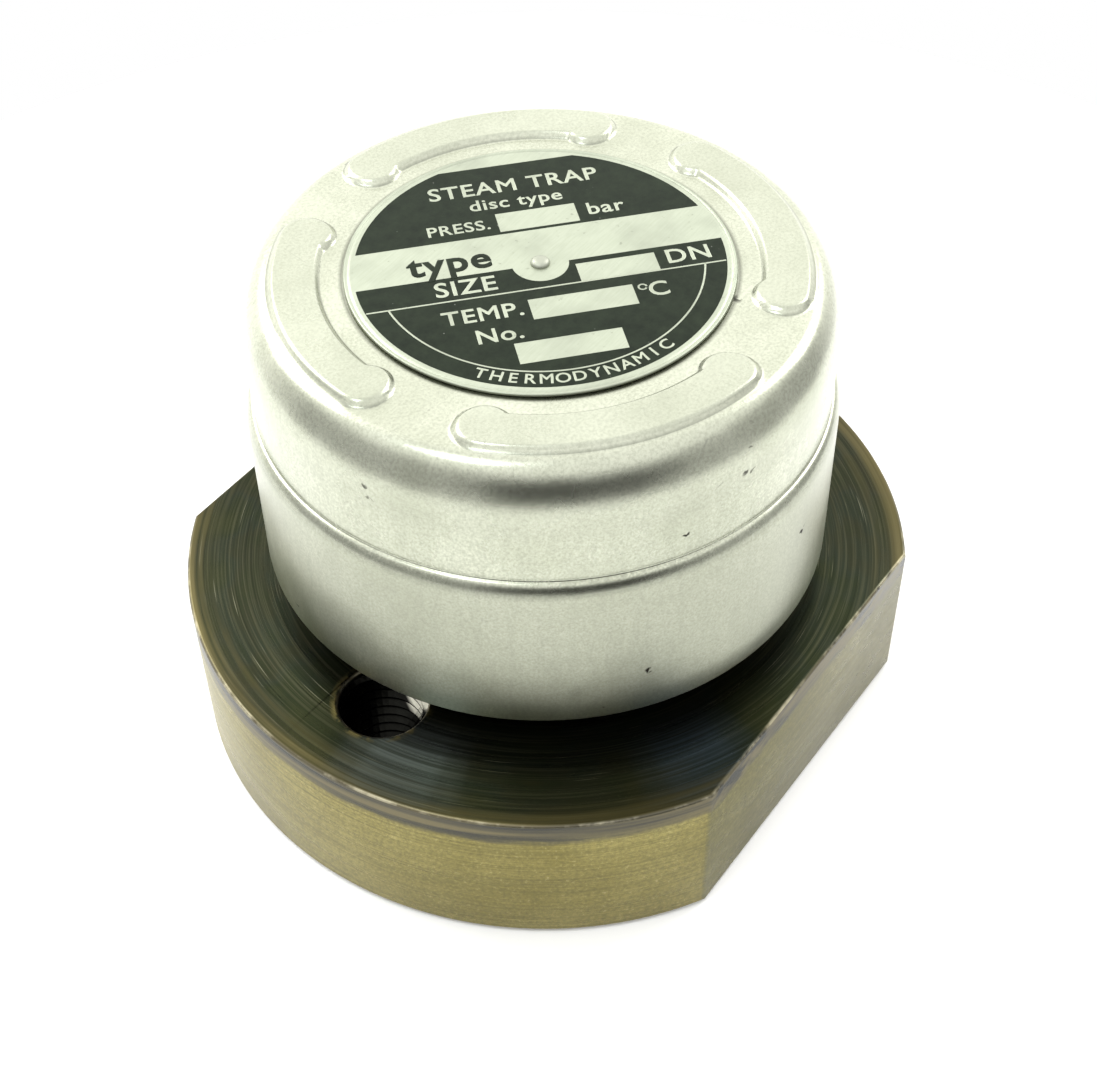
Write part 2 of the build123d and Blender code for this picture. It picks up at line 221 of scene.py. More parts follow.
class Shader:
    """Short names for building one node material."""

    def __init__(self, name):
        self.material = bpy.data.materials.new(name)
        self.material.use_nodes = True
        self.tree = self.material.node_tree
        self.bsdf = self.tree.nodes["Principled BSDF"]
        self.point = self.node("ShaderNodeTexCoord").outputs["Object"]

    def node(self, kind, **values):
        made = self.tree.nodes.new(kind)
        for key, value in values.items():
            setattr(made, key, value)
        return made

    def feed(self, socket, value):
        if isinstance(value, bpy.types.NodeSocket):
            self.tree.links.new(value, socket)
        elif isinstance(value, bpy.types.Node):
            self.tree.links.new(value.outputs[0], socket)
        else:
            socket.default_value = value

    def math(self, operation, a, b=None, c=None, clamp=False):
        made = self.node("ShaderNodeMath", operation=operation, use_clamp=clamp)
        for socket, value in zip(made.inputs, (a, b, c)):
            if value is not None:
                self.feed(socket, value)
        return made.outputs[0]

    def split(self, vector):
        made = self.node("ShaderNodeSeparateXYZ")
        self.feed(made.inputs[0], vector)
        return made.outputs

    def join(self, x, y, z):
        made = self.node("ShaderNodeCombineXYZ")
        for socket, value in zip(made.inputs, (x, y, z)):
            self.feed(socket, value)
        return made.outputs[0]

    def stretch(self, vector, x, y, z):
        made = self.node("ShaderNodeMapping")
        self.feed(made.inputs["Vector"], vector)
        made.inputs["Scale"].default_value = (x, y, z)
        return made.outputs[0]

    def noise(self, vector, scale, detail=4.0, rough=0.55, extra=None):
        made = self.node("ShaderNodeTexNoise")
        self.feed(made.inputs["Vector"], vector)
        if extra is not None:
            made.noise_dimensions = "4D"
            self.feed(made.inputs["W"], extra)
        made.inputs["Scale"].default_value = scale
        made.inputs["Detail"].default_value = detail
        made.inputs["Roughness"].default_value = rough
        return made.outputs["Fac"]

    def voronoi(self, vector, scale, feature="F1"):
        made = self.node("ShaderNodeTexVoronoi", feature=feature)
        self.feed(made.inputs["Vector"], vector)
        made.inputs["Scale"].default_value = scale
        return made.outputs["Distance"]

    def ramp(self, value, stops, interpolation="LINEAR"):
        made = self.node("ShaderNodeValToRGB")
        self.feed(made.inputs[0], value)
        ramp = made.color_ramp
        ramp.interpolation = interpolation
        while len(ramp.elements) < len(stops):
            ramp.elements.new(1.0)
        for element, (place, colour) in zip(ramp.elements, stops):
            element.position = place
            grey = isinstance(colour, (int, float))
            element.color = (colour, colour, colour, 1) if grey else (*colour, 1)
        return made.outputs[0]

    def mix(self, factor, a, b, blend="MIX"):
        made = self.node("ShaderNodeMix", data_type="RGBA", blend_type=blend)
        self.feed(made.inputs[0], factor)
        for socket, value in ((made.inputs[6], a), (made.inputs[7], b)):
            if isinstance(value, tuple) and len(value) == 3:
                value = (*value, 1)
            self.feed(socket, value)
        return made.outputs[2]

    def bump(self, height, strength, distance, under=None):
        made = self.node("ShaderNodeBump")
        made.inputs["Strength"].default_value = strength
        made.inputs["Distance"].default_value = distance * MM
        self.feed(made.inputs["Height"], height)
        if under is not None:
            self.feed(made.inputs["Normal"], under)
        return made.outputs[0]

    def polar(self):
        """Radius, angle and height of the shaded point, in metres and radians."""
        x, y, z = self.split(self.point)
        square = self.math("ADD", self.math("MULTIPLY", x, x), self.math("MULTIPLY", y, y))
        radius = self.math("SQRT", square)
        angle = self.math("ARCTAN2", y, x)
        return radius, angle, z

    def toward(self, x, y, radius, azimuth):
        """Cosine of the angle round the axis between the shaded point and an azimuth in degrees."""
        a = math.radians(azimuth)
        part_x, part_y = self.math("MULTIPLY", x, math.cos(a)), self.math("MULTIPLY", y, math.sin(a))
        along = self.math("ADD", part_x, part_y)
        return self.math("DIVIDE", along, radius)

    def round_about(self, radius, angle, along):
        """Place that repeats every full turn without a seam; along is the turn's radius in mm."""
        across = self.math("MULTIPLY", self.math("COSINE", angle), along * MM)
        up = self.math("MULTIPLY", self.math("SINE", angle), along * MM)
        return self.join(radius, across, up)

    def turned_grain(self, amount):
        """Reflection stretched across turning marks that run round the axis."""
        tangent = self.node("ShaderNodeTangent", direction_type="RADIAL", axis="Z")
        self.feed(self.bsdf.inputs["Tangent"], tangent)
        self.bsdf.inputs["Anisotropic"].default_value = amount
        self.bsdf.inputs["Anisotropic Rotation"].default_value = 0.25

    def set(self, **values):
        names = {"color": "Base Color", "metal": "Metallic", "rough": "Roughness", "normal": "Normal"}
        for key, value in values.items():
            socket = self.bsdf.inputs[names[key]]
            if isinstance(value, tuple) and len(value) == 3:
                value = (*value, 1)
            self.feed(socket, value)
        return self.material


def dress(piece, material):
    """One material on the whole piece."""
    piece.data.materials.clear()
    piece.data.materials.append(material)
    return piece


def ring_noise(s, scale, along, detail=3.0):
    """Noise drawn out round the axis: fine across radius and height, long along the turn."""
    radius, angle, z = s.polar()
    return s.noise(s.round_about(radius, angle, along), scale, detail, 0.6, z)


def cap_alloy():
    """Spun light alloy: satin and grainy, faintly ringed, with scuffs, grey stains and dark nicks, and
    painted shade on the shoulder, the skirt, the pads' feet and round the plate.
    """
    s = Shader("cap_alloy")
    radius, _, z = s.polar()
    height = s.math("MULTIPLY", z, 10.0)
    rings = ring_noise(s, 2600, 1.0)
    cloud = s.noise(s.point, 95, 5, 0.6)
    grain = s.noise(s.point, 2900, 3, 0.7)
    scratches = s.voronoi(s.stretch(s.point, 1.0, 0.16, 0.5), 900, "DISTANCE_TO_EDGE")
    scratch = s.ramp(scratches, [(0.0, 1.0), (0.012, 0.0)])
    scratch_area = s.ramp(s.noise(s.point, 210, 2), [(0.54, 0.0), (0.66, 1.0)])
    scuff = s.math("MULTIPLY", scratch, scratch_area)
    warped = s.mix(0.0035, s.point, s.noise(s.point, 700, 2))
    nick_shape = s.ramp(s.voronoi(s.stretch(warped, 1.0, 1.0, 1.6), 150), [(0.05, 1.0), (0.09, 0.0)])
    nick_area = s.ramp(s.noise(s.point, 74, 1), [(0.53, 0.0), (0.56, 1.0)])
    nick = s.math("MULTIPLY", nick_shape, nick_area)
    chip = s.ramp(s.voronoi(s.stretch(warped, 1.0, 1.0, 1.4), 260), [(0.07, 1.0), (0.12, 0.0)])
    chip = s.math("MULTIPLY", chip, s.ramp(s.noise(s.point, 120, 1), [(0.56, 0.0), (0.60, 0.9)]))
    on_rim = s.ramp(height, [(0.515, 0.0), (0.535, 1.0), (0.596, 1.0), (0.599, 0.0)])
    nick = s.math("MAXIMUM", nick, s.math("MULTIPLY", chip, on_rim))
    speck = s.ramp(s.noise(s.point, 1150, 3, 0.7), [(0.66, 0.0), (0.74, 1.0)])
    worn = s.ramp(s.noise(s.point, 160, 3), [(0.45, 0.0), (0.62, 1.0)])
    worn = s.math("MULTIPLY", worn, s.ramp(height, [(0.44, 0.15), (0.54, 1.0)]))
    tone = s.mix(s.ramp(cloud, [(0.35, 0.0), (0.7, 1.0)]), (0.46, 0.48, 0.375), (0.64, 0.66, 0.54))
    tone = s.mix(s.ramp(grain, [(0.35, 0.50), (0.58, 0.0)]), tone, (0.27, 0.28, 0.22))
    streaks = s.noise(s.stretch(s.point, 1.0, 1.0, 0.12), 1100, 3, 0.6)
    on_wall = s.ramp(height, [(0.53, 1.0), (0.57, 0.0)])
    streaky = s.math("MULTIPLY", on_wall, s.ramp(streaks, [(0.40, 0.16), (0.60, 0.0)]))
    tone = s.mix(streaky, tone, (0.26, 0.27, 0.21))
    sandy = s.ramp(s.noise(s.point, 4200, 2, 0.6), [(0.40, 0.34), (0.60, 0.0)])
    tone = s.mix(s.math("MULTIPLY", on_wall, sandy), tone, (0.26, 0.27, 0.20))
    # painted shade: a dark band round the shoulder under the crease
    shoulder_shade = s.ramp(height, [(0.4390, 0.0), (0.4425, 0.38), (0.4505, 0.38), (0.4540, 0.0)])
    tone = s.mix(shoulder_shade, tone, (0.11, 0.115, 0.09))
    on_skirt = s.ramp(height, [(0.440, 1.0), (0.446, 0.0)])
    # painted shade: the skirt below the shoulder darker all round
    tone = s.mix(s.math("MULTIPLY", on_skirt, 0.36), tone, (0.22, 0.225, 0.17))
    tone = s.mix(s.math("MULTIPLY", rings, 0.30), tone, (0.40, 0.41, 0.34))
    tone = s.mix(s.math("MULTIPLY", s.math("MULTIPLY", speck, worn), 0.45), tone, (0.20, 0.20, 0.17))
    tone = s.mix(s.math("MULTIPLY", scuff, 0.5), tone, (0.25, 0.26, 0.22))
    tone = s.mix(nick, tone, (0.020, 0.017, 0.014))
    wide = s.math("MULTIPLY", radius, 10.0)
    # painted shadow: a dark ring on the cap round the plate's edge, where the gap under the plate falls
    plate_gap_shadow = s.ramp(wide, [(0.2045, 0.0), (0.2050, 0.85), (0.2075, 0.6), (0.2110, 0.0)])
    plate_gap_shadow = s.math("MULTIPLY", plate_gap_shadow, s.ramp(z, [(0.055, 0.0), (0.058, 1.0)]))
    tone = s.mix(plate_gap_shadow, tone, (0.020, 0.020, 0.015))
    high = s.math("MULTIPLY", s.math("SUBTRACT", z, LAND_Z * MM), 1 / MM)
    pad_top = s.ramp(high, [(0.35, 0.0), (0.62, 0.30)])
    tone = s.mix(pad_top, tone, (0.36, 0.38, 0.30))
    # painted shade: a dark line along the foot of each pad
    pad_foot_shade = s.ramp(high, [(0.02, 0.0), (0.07, 0.55), (0.16, 0.35), (0.30, 0.0)])
    tone = s.mix(pad_foot_shade, tone, (0.10, 0.105, 0.085))
    pressed = s.ramp(height, [(0.5130, 0.0), (0.5138, 1.0)])
    tone = s.mix(s.math("MULTIPLY", pressed, 0.16), tone, (0.34, 0.35, 0.28))
    rough = s.math("ADD", s.math("MULTIPLY", cloud, 0.14), 0.20)
    rough = s.math("ADD", rough, s.math("MULTIPLY", on_skirt, 0.05))
    rough = s.math("ADD", rough, s.math("MULTIPLY", nick, 0.3))
    fine = s.bump(grain, 0.30, 0.014)
    turned = s.bump(rings, 0.18, 0.020, fine)
    dents = s.bump(s.noise(s.point, 130, 2), 0.14, 0.6, turned)
    normal = s.bump(s.math("ADD", nick, s.math("MULTIPLY", scuff, 0.3)), -0.5, 0.08, dents)
    s.turned_grain(0.25)
    return s.set(color=tone, metal=1.0, rough=rough, normal=normal)


def plate_alloy():
    """Satin plate metal under and around the print, with painted shade on its rim edge."""
    s = Shader("plate_alloy")
    brushed = s.noise(s.stretch(s.point, 1.0, 14.0, 1.0), 420, 3)
    cloud = s.noise(s.point, 160, 3)
    radius = s.polar()[0]
    tone = s.mix(brushed, (0.33, 0.36, 0.275), (0.45, 0.48, 0.385))
    tone = s.mix(s.ramp(cloud, [(0.45, 0.0), (0.75, 0.6)]), tone, (0.26, 0.28, 0.22))
    speck = s.ramp(s.noise(s.point, 1300, 3, 0.7), [(0.64, 0.0), (0.72, 0.5)])
    tone = s.mix(speck, tone, (0.18, 0.19, 0.15))
    # painted shade: the plate's outer rim edge dark
    edge = s.ramp(s.math("MULTIPLY", radius, 10.0), [(0.2040, 0.0), (0.2046, 1.0)])
    tone = s.mix(edge, tone, (0.05, 0.05, 0.04))
    normal = s.bump(brushed, 0.10, 0.012)
    rough = s.math("ADD", s.math("MULTIPLY", cloud, 0.2), 0.3)
    return s.set(color=tone, metal=0.9, rough=rough, normal=normal)


def plate_ink():
    """Black plate print, slightly glossy and worn thin in places."""
    s = Shader("plate_ink")
    wear = s.noise(s.point, 620, 5, 0.7)
    speck = s.ramp(s.voronoi(s.point, 1500), [(0.05, 1.0), (0.12, 0.0)])
    rare = s.ramp(s.noise(s.point, 330, 2), [(0.62, 0.0), (0.70, 1.0)])
    tone = s.mix(s.ramp(wear, [(0.3, 0.0), (0.8, 1.0)]), (0.006, 0.010, 0.005), (0.018, 0.026, 0.014))
    tone = s.mix(s.math("MULTIPLY", speck, rare), tone, (0.30, 0.31, 0.27))
    normal = s.bump(wear, 0.08, 0.01)
    s.bsdf.inputs["Specular IOR Level"].default_value = 0.09
    rough = s.math("ADD", s.math("MULTIPLY", wear, 0.25), 0.28)
    return s.set(color=tone, metal=0.0, rough=rough, normal=normal)


def flange_steel():
    """Turned, heat-tinted stainless steel: dark bronze on top, straw gold on the side, with painted sheen
    fans on top, a painted glint on the top edge and painted shade down the bolt holes.
    """
    s = Shader("flange_steel")
    radius, angle, z = s.polar()
    height = s.math("MULTIPLY", z, 50.0)
    rings = ring_noise(s, 4300, 0.35, 3.0)
    coarse = ring_noise(s, 800, 1.2, 2.0)
    long_lines = s.noise(s.round_about(radius, angle, 0.6), 6200, 1, 0.5, z)
    cloud = s.noise(s.point, 70, 4)
    grain = s.noise(s.point, 2300, 3, 0.7)
    patch = s.noise(s.point, 52, 3, 0.6)
    tint = s.math("ADD", s.math("MULTIPLY", patch, 0.82), s.math("MULTIPLY", coarse, 0.18))
    top = s.ramp(tint, [
        (0.30, (0.020, 0.024, 0.010)), (0.40, (0.028, 0.032, 0.014)), (0.47, (0.021, 0.026, 0.013)),
        (0.52, (0.022, 0.027, 0.017)), (0.56, (0.025, 0.027, 0.015)), (0.60, (0.022, 0.026, 0.013)),
        (0.68, (0.033, 0.032, 0.014)), (0.80, (0.016, 0.024, 0.015)),
    ])
    top = s.mix(s.ramp(rings, [(0.48, 0.0), (0.72, 0.55)]), top, (0.090, 0.088, 0.052))
    top = s.mix(s.ramp(rings, [(0.25, 0.6), (0.42, 0.0)]), top, (0.006, 0.007, 0.005))
    top = s.mix(s.ramp(long_lines, [(0.69, 0.0), (0.78, 0.50)]), top, (0.30, 0.29, 0.20))
    rim = s.ramp(s.math("MULTIPLY", radius, 20.0), [(0.770, 0.0), (0.845, 0.55)])
    gold = s.mix(s.ramp(coarse, [(0.40, 0.0), (0.62, 1.0)]), (0.036, 0.033, 0.016), (0.150, 0.122, 0.052))
    top = s.mix(rim, s.mix(0.18, top, (0.004, 0.005, 0.003)), gold)
    x, y, _ = s.split(s.point)
    outer = s.ramp(s.math("MULTIPLY", radius, 20.0), [(0.60, 0.0), (0.70, 1.0), (0.78, 0.8), (0.85, 0.15)])
    # painted sheen: streaked fans of colour out from the axis stand in for reflections in the turning marks,
    # over some heat tint
    for azimuth, strength, colour in TINT_AND_SHEEN_FANS:
        fan = s.ramp(s.toward(x, y, radius, azimuth), [(0.978, 0.0), (0.990, 0.35), (0.9985, 1.0)], "EASE")
        streak = s.ramp(rings, [(0.38, 0.3 * strength), (0.62, strength)])
        top = s.mix(s.math("MULTIPLY", s.math("MULTIPLY", fan, outer), streak), top, colour)
    aside = s.math("SUBTRACT", s.math("ABSOLUTE", x), BOLT_X * MM)
    reach = s.math("SQRT", s.math("ADD", s.math("MULTIPLY", aside, aside), s.math("MULTIPLY", y, y)))
    lip = s.ramp(s.math("MULTIPLY", reach, 100.0), [(0.50, 1.0), (0.53, 0.8), (0.60, 0.0)])
    lip = s.math("MULTIPLY", lip, s.ramp(s.noise(s.point, 480, 3, 0.7), [(0.44, 0.0), (0.58, 1.0)]))
    top = s.mix(lip, top, (0.21, 0.17, 0.065))
    side = s.mix(s.ramp(cloud, [(0.3, 0.0), (0.7, 1.0)]), (0.235, 0.198, 0.062), (0.36, 0.312, 0.115))
    side = s.mix(s.ramp(rings, [(0.35, 0.55), (0.60, 0.0)]), side, (0.12, 0.105, 0.042))
    side = s.mix(s.ramp(grain, [(0.36, 0.45), (0.56, 0.0)]), side, (0.10, 0.09, 0.045))
    side = s.mix(s.ramp(grain, [(0.60, 0.0), (0.74, 0.4)]), side, (0.55, 0.50, 0.28))
    side = s.mix(0.12, side, (0.105, 0.098, 0.040))
    milled = s.math("MULTIPLY", s.math("ABSOLUTE", y), 1 / (FLAT_Y * MM))
    milled = s.ramp(milled, [(0.992, 0.0), (0.997, 0.48)])
    side = s.mix(milled, side, (0.060, 0.064, 0.032))
    edge_noise = s.math("MULTIPLY", s.noise(s.round_about(radius, angle, 9.0), 420, 4, 0.7, z), 0.16)
    ragged = s.math("ADD", height, edge_noise)
    band = s.ramp(ragged, [(0.905, 0.0), (0.945, 0.80), (1.06, 0.95)])
    dull = s.mix(s.ramp(coarse, [(0.40, 0.0), (0.60, 1.0)]), (0.050, 0.051, 0.050), (0.15, 0.13, 0.080))
    side = s.mix(band, side, dull)
    on_top = s.ramp(height, [(0.9955, 0.0), (0.9985, 1.0)])
    colour = s.mix(on_top, side, top)
    # painted shade: the bolt holes' walls near black below the top
    bore = s.ramp(s.math("MULTIPLY", reach, 100.0), [(0.500, 1.0), (0.515, 0.0)])
    bore = s.math("MULTIPLY", bore, s.ramp(height, [(0.975, 1.0), (0.99, 0.0)]))
    colour = s.mix(bore, colour, (0.005, 0.005, 0.004))
    # painted highlight: a thin broken glint along the top edge
    edge = s.ramp(height, [(0.985, 0.0), (0.990, 1.0), (0.995, 1.0), (0.9985, 0.0)])
    glint_patches = s.ramp(s.noise(s.point, 170, 4, 0.7), [(0.48, 0.05), (0.64, 0.8)])
    colour = s.mix(s.math("MULTIPLY", edge, glint_patches), colour, (0.62, 0.57, 0.40))
    rough = s.math("ADD", s.math("MULTIPLY", coarse, 0.18), 0.20)
    normal = s.bump(rings, 0.25, 0.030)
    normal = s.bump(coarse, 0.10, 0.05, normal)
    normal = s.bump(grain, 0.20, 0.012, normal)
    s.turned_grain(0.7)
    return s.set(color=colour, metal=1.0, rough=rough, normal=normal)


def turned_steel(name, light, dark, rough_low, ring_scale=2200):
    """Plain turned steel with fine rings and a little staining."""
    s = Shader(name)
    rings = ring_noise(s, ring_scale, 5.0)
    cloud = s.noise(s.point, 110, 4)
    tone = s.mix(s.ramp(cloud, [(0.35, 0.0), (0.7, 1.0)]), light, dark)
    tone = s.mix(s.math("MULTIPLY", rings, 0.3), tone, tuple(0.6 * c for c in dark))
    rough = s.math("ADD", s.math("MULTIPLY", cloud, 0.2), rough_low)
    return s.set(color=tone, metal=1.0, rough=rough, normal=s.bump(rings, 0.2, 0.03))


def thread_steel():
    """Near-black thread as painted shade down the hole, with a painted glint on its upper turns at the side
    by the cap.
    """
    s = Shader("thread_metal")
    x, y, z = s.split(s.point)
    rings = ring_noise(s, 2200, 5.0)
    inward = s.math("SUBTRACT", BOLT_X * MM, s.math("ABSOLUTE", x))
    facing = s.math("SUBTRACT", s.math("MULTIPLY", inward, 0.90), s.math("MULTIPLY", y, 0.43))
    # painted highlight: a glint on the upper turns at the side by the cap
    painted_glint = s.ramp(s.math("MULTIPLY", facing, 100.0), [(0.375, 0.0), (0.415, 1.0)])
    painted_glint = s.math("MULTIPLY", painted_glint, s.ramp(s.math("MULTIPLY", z, 50.0), [(0.64, 0.0), (0.72, 1.0)]))
    # painted shade: the thread near black inside the hole
    dark = s.mix(rings, (0.012, 0.012, 0.010), (0.004, 0.004, 0.0035))
    tone = s.mix(painted_glint, dark, (0.42, 0.41, 0.34))
    return s.set(color=tone, metal=1.0, rough=0.22, normal=s.bump(rings, 0.2, 0.03))


def gasket_sheet():
    """Pressed graphite sheet: dark, matte, faintly flecked."""
    s = Shader("gasket_sheet")
    fleck = s.noise(s.point, 2600, 4, 0.7)
    tone = s.mix(fleck, (0.020, 0.020, 0.021), (0.085, 0.085, 0.088))
    return s.set(color=tone, metal=0.2, rough=0.62, normal=s.bump(fleck, 0.3, 0.03))


# ---------------------------------------------------------------- outer cap


def pad_lift(radius, angle):
    """Height of the embossed arc pads at one place on the cap's top, with wider rounded ends."""
    step = 360.0 / PAD_COUNT
    off = (math.degrees(angle) - PAD_FIRST + step / 2) % step - step / 2
    middle = (PAD_IN + PAD_OUT) / 2
    along = abs(math.radians(off)) * middle
    end_at = math.radians(PAD_HALF_SPAN) * middle - PAD_END_R
    band = (PAD_OUT - PAD_IN) / 2 - abs(radius - middle)
    if along > end_at:
        band = -1.0
    end = PAD_END_R - math.hypot(along - end_at, radius - middle + PAD_END_R - (PAD_OUT - PAD_IN) / 2)
    inside = max(band, end)
    return PAD_HEIGHT * smoothstep(0.0, PAD_SLOPE, inside)


def cap_outline():
    """Closed half section of the cap, from the rivet hole out over the top, down and back inside."""
    hole = RIVET_HOLE_R
    outline = [(hole + 2.2 * i, LAND_Z) for i in range(9)]
    outline += [(21.2 + 0.16 * i, LAND_Z) for i in range(45)]
    outline += arc_points((LAND_R, RIM_START), WALL_R - LAND_R, LAND_Z - RIM_START, 88, 0, 30)
    outline += [(WALL_R, 51.5), (WALL_R, 49.0), (WALL_R, CREASE_Z + 0.9)]
    outline += [(WALL_R - 0.03, CREASE_Z + 0.35), (WALL_R - 0.06, CREASE_Z + 0.05)]
    outline += arc_points((WALL_R, SKIRT_TOP), SKIRT_R - WALL_R, CREASE_Z - SKIRT_TOP, 88, 0, 12)
    outline += [(SKIRT_R, SKIRT_TOP - 3.0 * i) for i in range(1, 6)]
    outline += arc_points((SKIRT_R - 0.35, CAP_BOTTOM + 0.35), 0.35, 0.35, 0, -90, 5)
    outline += arc_points((SKIRT_R - CAP_WALL + 0.3, CAP_BOTTOM + 0.3), 0.3, 0.3, 270, 180, 4)
    inner_skirt = SKIRT_R - CAP_WALL
    inner_wall = WALL_R - CAP_WALL
    outline += [(inner_skirt, 31.0), (inner_skirt, 38.0), (inner_skirt, 44.1), (inner_skirt - 0.2, 44.3)]
    outline += [(inner_wall + 0.1, 44.3), (inner_wall, 44.5), (inner_wall, 49.0)]
    inner_top = LAND_Z - CAP_WALL
    outline += arc_points((LAND_R, RIM_START), inner_wall - LAND_R, inner_top - RIM_START, 0, 88, 14)
    outline += [(LAND_R - 0.5 * i, inner_top) for i in range(15)]
    outline += [(18.0, inner_top), (9.0, inner_top), (hole, inner_top)]
    return outline


def make_cap():
    """The spun cap as one closed shell with its embossed pads."""
    bm = bmesh.new()
    lathe(bm, cap_outline(), CAP_TURNS, lambda index, r, angle: pad_lift(r, angle) if r > 21.0 else 0.0)
    cap = from_bmesh(bm, "air_jacket_cap")
    return dress(cap, cap_alloy())


# ---------------------------------------------------------------- nameplate


def make_plate():
    """Thin plate with a rolled rim, its edge standing just clear of the cap."""
    top = PLATE_TOP
    outline = [(0.75, top - 0.03), (0.80, top), (0.95, top), (10.0, top), (19.7, top)]
    outline += [(19.95, top - 0.01), (20.03, top - 0.07), (20.1, top - 0.07), (20.18, top - 0.01)]
    outline += [(20.28, top)]
    outline += arc_points((PLATE_R - 0.17, top - 0.17), 0.17, 0.17, 80, -60, 6)
    outline += [(PLATE_R - 0.3, LAND_Z + 0.11), (19.0, LAND_Z + 0.02), (0.75, LAND_Z + 0.01)]
    bm = bmesh.new()
    lathe(bm, outline, PLATE_TURNS)
    return dress(from_bmesh(bm, "rating_plate"), plate_alloy())


def flat_curve(name, outlines, height, thick):
    """Thin closed sheet from flat outlines; an outline inside another is a hole."""
    data = bpy.data.curves.new(name, "CURVE")
    data.dimensions = "2D"
    data.fill_mode = "BOTH"
    data.extrude = thick / 2 * MM
    add_lines(data, outlines)
    return settle(put(data, name), name, height)


def settle(curve, name, height, turn=TEXT_ANGLE):
    """Turns a curve into a mesh piece at a height, turned about the axis."""
    mesh = mesh_of(curve)
    mesh.transform(Matrix.Translation((0, 0, height * MM)) @ Matrix.Rotation(math.radians(turn), 4, "Z"))
    return put(mesh, name)


def chord_x(radius, v):
    """Half of a circle's chord at a distance from its centre."""
    return math.sqrt(radius * radius - v * v)


def angle_at(radius, v):
    """Angle in degrees of the circle's point at a height over its centre."""
    return math.degrees(math.asin(v / radius))


def box_points(u0, v0, u1, v1):
    """Corners of an upright box between two opposite corners."""
    return [(u0, v0), (u1, v0), (u1, v1), (u0, v1)]


# Print of the plate: u runs along the lettering and v up it, from the plate's centre
BAND_LOW = -0.25
BAND_HIGH = 5.7
FLAT_CUT = 17.9
RULE_V = -4.05
RIVET_PATCH_R = 3.0
VALUE_BOXES_UP = [(-2.95, 6.1, 5.7, 9.3)]
VALUE_BOXES_DOWN = [(3.5, RULE_V, 11.9, -1.0), (-2.55, -8.8, 8.4, -5.6), (-5.3, -15.2, 5.75, -12.0)]
# Words, place of their middle, and size
LABELS = [
    ("STEAM TRAP", 0.0, 14.0, 2.25),
    ("disc type", -0.3, 11.1, 1.9),
    ("PRESS.", -7.2, 7.6, 1.7),
    ("bar", 8.8, 7.8, 2.1),
    ("SIZE", -8.3, -2.2, 2.4),
    ("DN", 15.3, -2.2, 2.3),
    ("TEMP.", -7.4, -6.9, 2.2),
    ("C", 10.9, -7.0, 2.3),
    ("No.", -6.4, -10.4, 2.2),
]
BAND_LABEL = ("type", -9.2, 2.1, 3.4)
ARC_LABEL = "THERMODYNAMIC"
ARC_LABEL_R = 18.25


def make_print():
    """The two black fields of the plate's print, with clear value boxes."""
    a_cut = angle_at(PRINT_R, FLAT_CUT)
    a_band = angle_at(PRINT_R, BAND_HIGH)
    right = circle_part(PRINT_R, a_band, a_cut)
    left = circle_part(PRINT_R, 180 - a_cut, 180 - a_band)
    upper = [right + left] + [box_points(*b) for b in VALUE_BOXES_UP]
    a_low = angle_at(PRINT_R, BAND_LOW)
    rim = circle_part(PRINT_R, 180 - a_low, 360 + a_low, 120)
    start = math.degrees(math.asin(BAND_LOW / RIVET_PATCH_R))
    bulge = circle_part(RIVET_PATCH_R, start, -180 - start, 24)
    lower = [rim + bulge] + [box_points(*b) for b in VALUE_BOXES_DOWN]
    ink = plate_ink()
    pieces = []
    for name, outlines in (("plate_print_upper", upper), ("plate_print_lower", lower)):
        piece = flat_curve(name, outlines, PLATE_TOP + PRINT_LIFT / 2, PRINT_LIFT)
        pieces.append(dress(piece, ink))
    return pieces, ink


def text_piece(words, size, u, v, turn=0.0, bold=0.022):
    """One line of lettering centred at a place on the plate."""
    data = bpy.data.curves.new("label", "FONT")
    data.body = words
    data.size = size * 1.38 * MM
    data.align_x = "CENTER"
    data.align_y = "CENTER"
    data.bevel_depth = bold * size * MM
    data.bevel_resolution = 0
    data.space_character = 1.08
    data.resolution_u = 4
    data.extrude = PRINT_LIFT / 2 * MM
    mesh = mesh_of(put(data, "label"))
    spot = Matrix.Translation((u * MM, v * MM, 0)) @ Matrix.Rotation(turn, 4, "Z")
    thin = PRINT_LIFT / (PRINT_LIFT + 2 * bold * size)
    mesh.transform(spot @ Matrix.Diagonal((1, 1, thin, 1)))
    return mesh


def merge(meshes, name, height):
    """Joins flat meshes into one piece lying on the plate."""
    bm = bmesh.new()
    for mesh in meshes:
        bm.from_mesh(mesh)
        bpy.data.meshes.remove(mesh)
    joined = bpy.data.meshes.new(name)
    bm.to_mesh(joined)
    bm.free()
    turn = Matrix.Rotation(math.radians(TEXT_ANGLE), 4, "Z")
    joined.transform(Matrix.Translation((0, 0, height * MM)) @ turn)
    return put(joined, name)


def strip_mesh(points, width):
    """Thin raised line along flat points."""
    data = bpy.data.curves.new("rule", "CURVE")
    data.dimensions = "3D"
    add_lines(data, [points], closed=False)
    data.bevel_depth = width / 2 * MM
    data.bevel_resolution = 1
    mesh = mesh_of(put(data, "rule"))
    mesh.transform(Matrix.Diagonal((1, 1, PRINT_LIFT / width, 1)))
    return mesh


